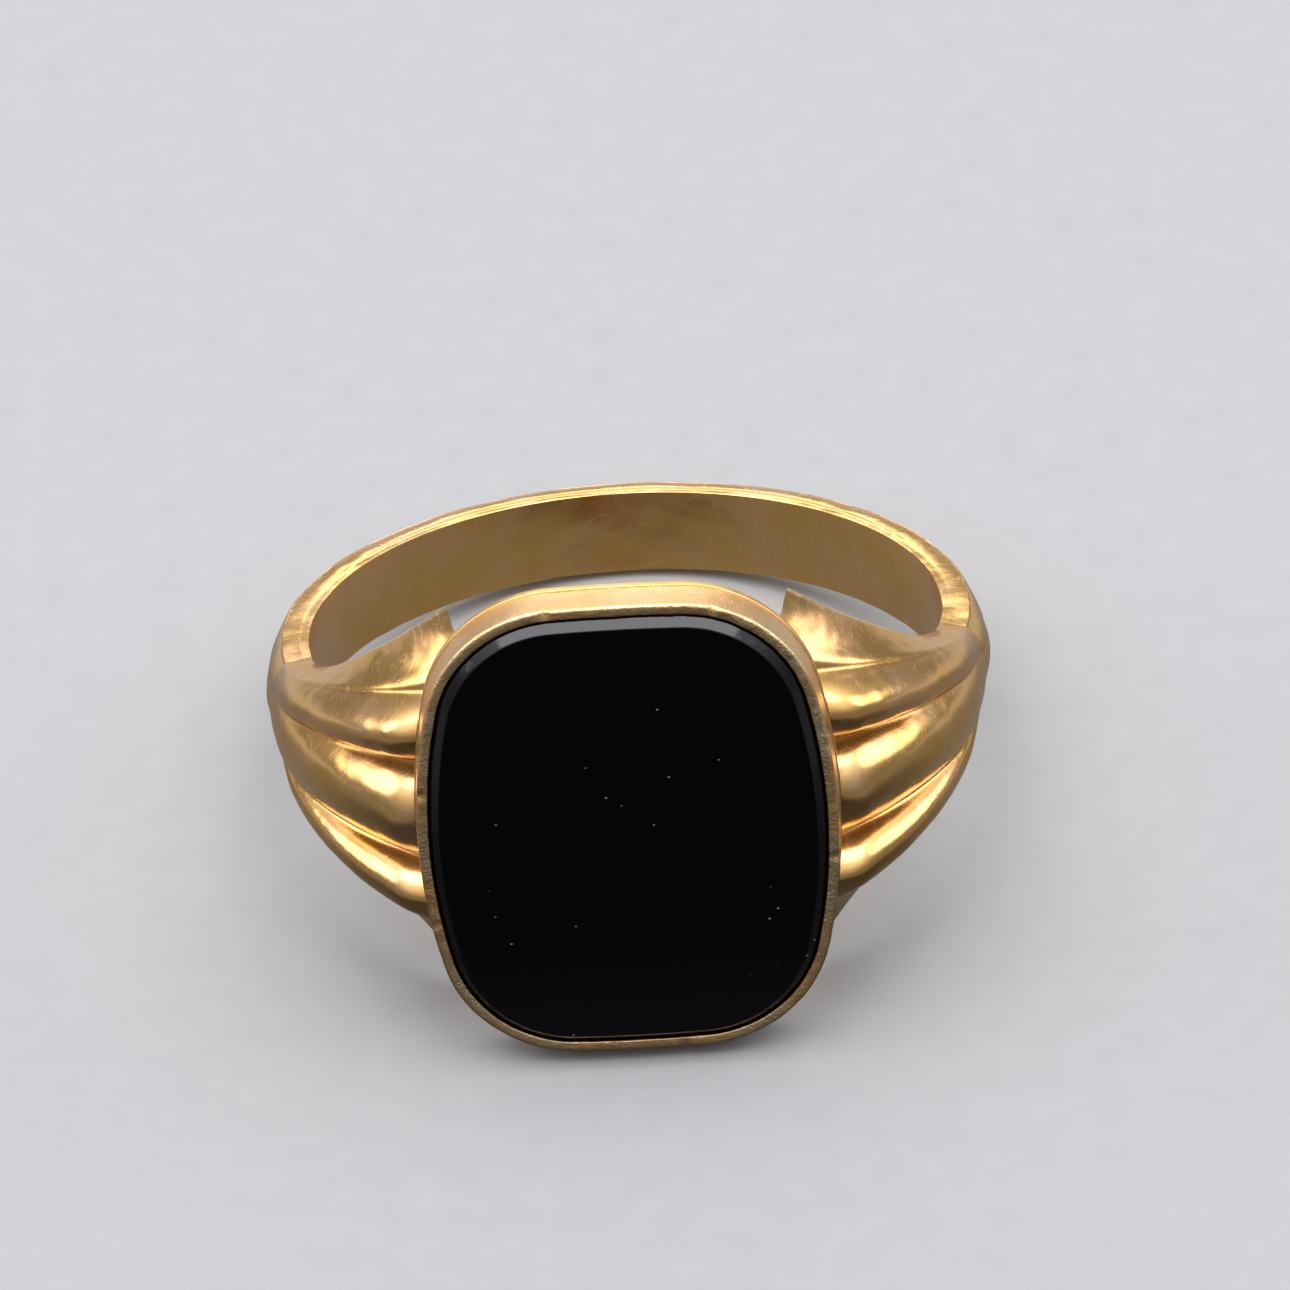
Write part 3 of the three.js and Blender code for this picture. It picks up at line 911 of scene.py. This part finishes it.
onyx = Finish("black onyx", Metallic=0.0, IOR=1.54)
on_stone = onyx.place()
on_bevel = (onyx.axis(on_stone, Y) * -1).between(BEVEL_FROM, BEVEL_FULLY)
haze = onyx.noise(on_stone, 0.35, 4, 0.6).between(0.45, 0.75)
dust_size = onyx.noise(on_stone, 0.8, 1).between(0.50, 0.70) * SPECK_SIZE
speck = (dust_size - onyx.cells(on_stone, 0.62)).between(-0.012, 0.0)
scratch_place = onyx.place((1.0, 1.0, 2.6), (0.0, 0.9, 0.0))
scratch_patches = onyx.noise(on_stone, 0.30, 1).between(0.53, 0.62)
short_scratch = onyx.cells(scratch_place, 1.3).between(0.06, 0.03) * scratch_patches
marks = (speck + short_scratch).maths("MINIMUM", 1.0)
chips = onyx.noise(on_stone, 1.6, 2, 0.6).between(0.55, 0.66) * on_bevel
onyx.use(
    Base_Color=onyx.mix(marks * 0.75, ONYX_BLACK, DUST_GREY),
    Roughness=TABLE_ROUGHNESS + haze * 0.03 + on_bevel * 0.08 + chips * 0.10 + marks * 0.5,
    Normal=onyx.bump(chips, 0.01 * MM, 0.4),
)
print("onyx has", len(onyx.tree.nodes), "nodes")

# %% [markdown]
# ## Bedding
# Under the stone, a step of gold carries it and cement fills the space. They hardly show, but they are
# finished as what they are: the step in the inner gold, the cement in a grainy matt brown.

# %% Cement
CEMENT_DARK, CEMENT_LIGHT = (0.10, 0.052, 0.025, 1), (0.26, 0.15, 0.08, 1)

cement = Finish("bedding cement", Metallic=0.0)
grit = cement.noise(cement.place(), 9.0, 4, 0.7)
cement.use(
    Base_Color=cement.mix(grit, CEMENT_DARK, CEMENT_LIGHT),
    Roughness=0.75 + grit * 0.2,
    Normal=cement.bump(grit, 0.05 * MM, 0.8),
)

# %% Which piece wears what
for piece, material in (
    (tablet, onyx.material), (wall, brushed), (plate, inner),
    (shank, polished), (shoulder, polished), (left_shoulder, polished),
):
    wear(piece, material)
for name, material in (("bearer_ring", inner), ("bedding_cement", cement.material)):
    nodes[name].material_slots[0].material = material
    print(name, "wears", material.name)

# %% [markdown]
# ## The floor
# A plain sheet of pale paper. Polished stone would mirror it and turn grey, so a jeweller who shows a
# black stone puts black card in front of it. Here no card is placed, and the floor paints a reflection
# instead: a ray that arrives by reflection sees a glowing colour, darkest in front of the head and paler
# at the sides and behind, and any other ray sees paper.

# %% Floor
PAPER_SHADE, PAPER_LIGHT = (0.29, 0.29, 0.294, 1), (0.32, 0.32, 0.325, 1)
# Colours of the painted reflection, which only reflected rays see.
PAINTED_REFLECTION_IN_FRONT, PAINTED_REFLECTION_AT_HEAD = (0.020, 0.020, 0.024, 1), (0.060, 0.060, 0.066, 1)
PAINTED_REFLECTION_UNDER, PAINTED_REFLECTION_ASIDE = (0.22, 0.215, 0.21, 1), (0.24, 0.235, 0.23, 1)
PAINTED_REFLECTION_BEHIND = (0.55, 0.55, 0.55, 1)

only(None)
bpy.ops.mesh.primitive_plane_add(size=1.2, location=(0, 0, 0))
floor = bpy.context.object
floor.name = "floor"
floor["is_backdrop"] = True

paper = Finish("pale paper", Roughness=0.9)
wear(floor, paper.material)
on_floor = paper.node("ShaderNodeTexCoord", output=OBJECT_PLACE)
paper.use(Base_Color=paper.mix(paper.noise(on_floor, 900, 3), PAPER_SHADE, PAPER_LIGHT))
back = paper.axis(on_floor, Y)
aside = paper.axis(on_floor, X).maths("ABSOLUTE")
# Painted reflection: a glowing colour that reflected rays see in place of the floor, dark in front of the
# head and paler aside and behind.
painted_reflection = paper.mix(back.between(-0.035, -0.014), PAINTED_REFLECTION_IN_FRONT, PAINTED_REFLECTION_AT_HEAD)
painted_reflection = paper.mix(back.between(-0.010, 0.000), painted_reflection, PAINTED_REFLECTION_UNDER)
painted_reflection = paper.mix(aside.between(0.014, 0.040), painted_reflection, PAINTED_REFLECTION_ASIDE)
painted_reflection = paper.mix(back.between(0.006, 0.018), painted_reflection, PAINTED_REFLECTION_BEHIND)
painted_reflection_glow = paper.node("ShaderNodeEmission", None, {"Color": painted_reflection, "Strength": 1.0})
by_reflection = paper.node("ShaderNodeLightPath", output=GLOSSY_RAY)
seen = paper.node("ShaderNodeMixShader", None, {
    0: by_reflection, 1: Value(paper, paper.shader.outputs[0]), 2: painted_reflection_glow})
paper.fill(paper.tree.nodes["Material Output"], {"Surface": seen})
print("floor", tuple(floor.dimensions))

# %% [markdown]
# ## The lamps
# Gold shows its surroundings more than itself, so the lamps are shapes to be mirrored. A broad one
# overhead draws the highlights along the ribs, a low one behind the ring brightens the top of the
# collet, and a small one at each side lights the outer ends of the ribs.

# %% Lamps
DAYLIGHT, WARM, SOFT_WARM = (0.95, 0.97, 1.0), (1.0, 0.97, 0.92), (1.0, 0.98, 0.95)


def soft_lamp(name, place, target, size, power, color):
    """An oval lamp that faces a target. Its size is in metres and its power in watts."""
    only(None)
    bpy.ops.object.light_add(type="AREA", location=place)
    lamp = bpy.context.object
    lamp.name = name
    lamp.data.shape = "ELLIPSE"
    lamp.data.size, lamp.data.size_y = size
    lamp.data.energy = power
    lamp.data.color = color
    lamp.rotation_euler = (Vector(target) - Vector(place)).to_track_quat("-Z", "Y").to_euler()
    print(name, "lamp", round(Vector(place).length, 3), "m away")


soft_lamp("overhead", (0.0, 0.00, 0.28), (0, 0, 0), (0.46, 0.36), 1.22, DAYLIGHT)
soft_lamp("low back", (0.0, 0.24, 0.078), (0, 0, 0.006), (0.20, 0.055), 0.075, WARM)
soft_lamp("left", (-0.20, 0.04, 0.11), (0, 0, 0.005), (0.12, 0.12), 0.100, SOFT_WARM)
soft_lamp("right", (0.20, 0.05, 0.11), (0, 0, 0.005), (0.12, 0.12), 0.090, SOFT_WARM)

# %% [markdown]
# ## The room
# A soft tent: bright above, greyer towards the horizon. Round-backed ribs gather all of it, so the height
# of a direction sets its brightness through a ramp.

# %% Room light
TENT = ((0.0, 0.15), (0.25, 0.24), (0.45, 0.48), (0.68, 0.98), (1.0, 1.0))   # height, brightness
TENT_BLUE, TENT_STRENGTH = 1.04, 1.15

world = bpy.data.worlds.new("room")
bpy.context.scene.world = world
world.use_nodes = True
room = Nodes(world.node_tree)
upwards = room.axis(room.node("ShaderNodeTexCoord"), Z)
stops = [(height, (level, level, level * TENT_BLUE)) for height, level in TENT]
glow = room.node("ShaderNodeValToRGB", {"stops": stops}, {0: upwards})
room.fill(room.tree.nodes["Background"], {"Color": glow, "Strength": TENT_STRENGTH})
print("the room has", len(TENT), "levels of light")

# %% [markdown]
# ## The camera
# It looks down at the head from in front, from 220 mm away. The three angles are measured in the ring's
# own frame: how far above the head's axis it stands, a slight turn to one side, and a slight roll.

# %% Camera
LOOK_DOWN, TURN, ROLL = 0.43158, -0.02325, 0.06378          # radians
DISTANCE, SHIFT_X, SHIFT_Y = 220.0, -0.4943, -0.4250        # millimetres
SENSOR_WIDTH, FOCAL_LENGTH, NEAREST = 36, 213.2, 0.005

side_turn = Matrix.Rotation(-TURN, 3, "Z")
forward = side_turn @ Vector((0, math.cos(LOOK_DOWN), -math.sin(LOOK_DOWN)))
upward = side_turn @ Vector((0, math.sin(LOOK_DOWN), math.cos(LOOK_DOWN)))
rightward = side_turn @ Vector((1, 0, 0))
picture_x = math.cos(ROLL) * rightward - math.sin(ROLL) * upward
picture_y = math.sin(ROLL) * rightward + math.cos(ROLL) * upward
stand = -SHIFT_X * picture_x - SHIFT_Y * picture_y - DISTANCE * forward

only(None)
bpy.ops.object.camera_add()
camera = bpy.context.object
axes = Matrix((picture_x, picture_y, -forward)).transposed().to_4x4()
camera.matrix_world = ring_frame @ Matrix.Translation(stand * MM) @ axes
camera.data.sensor_width = SENSOR_WIDTH
camera.data.lens = FOCAL_LENGTH
camera.data.clip_start = NEAREST
bpy.context.scene.camera = camera
bpy.context.scene.view_settings.view_transform = "Standard"
print("camera at", camera.matrix_world.translation)

# %% [markdown]
# ## Sizes, and the end
# The script prints by how much the box of the fine pieces is larger than the CAD box, along each axis.
# The fine pieces may not outgrow the frame.

# %% Sizes
visual_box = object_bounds()
grown = [(visual_box[1][k] - visual_box[0][k]) / (cad_box[1][k] - cad_box[0][k]) - 1 for k in range(3)]
print("grown by", [round(share, 4) for share in grown])
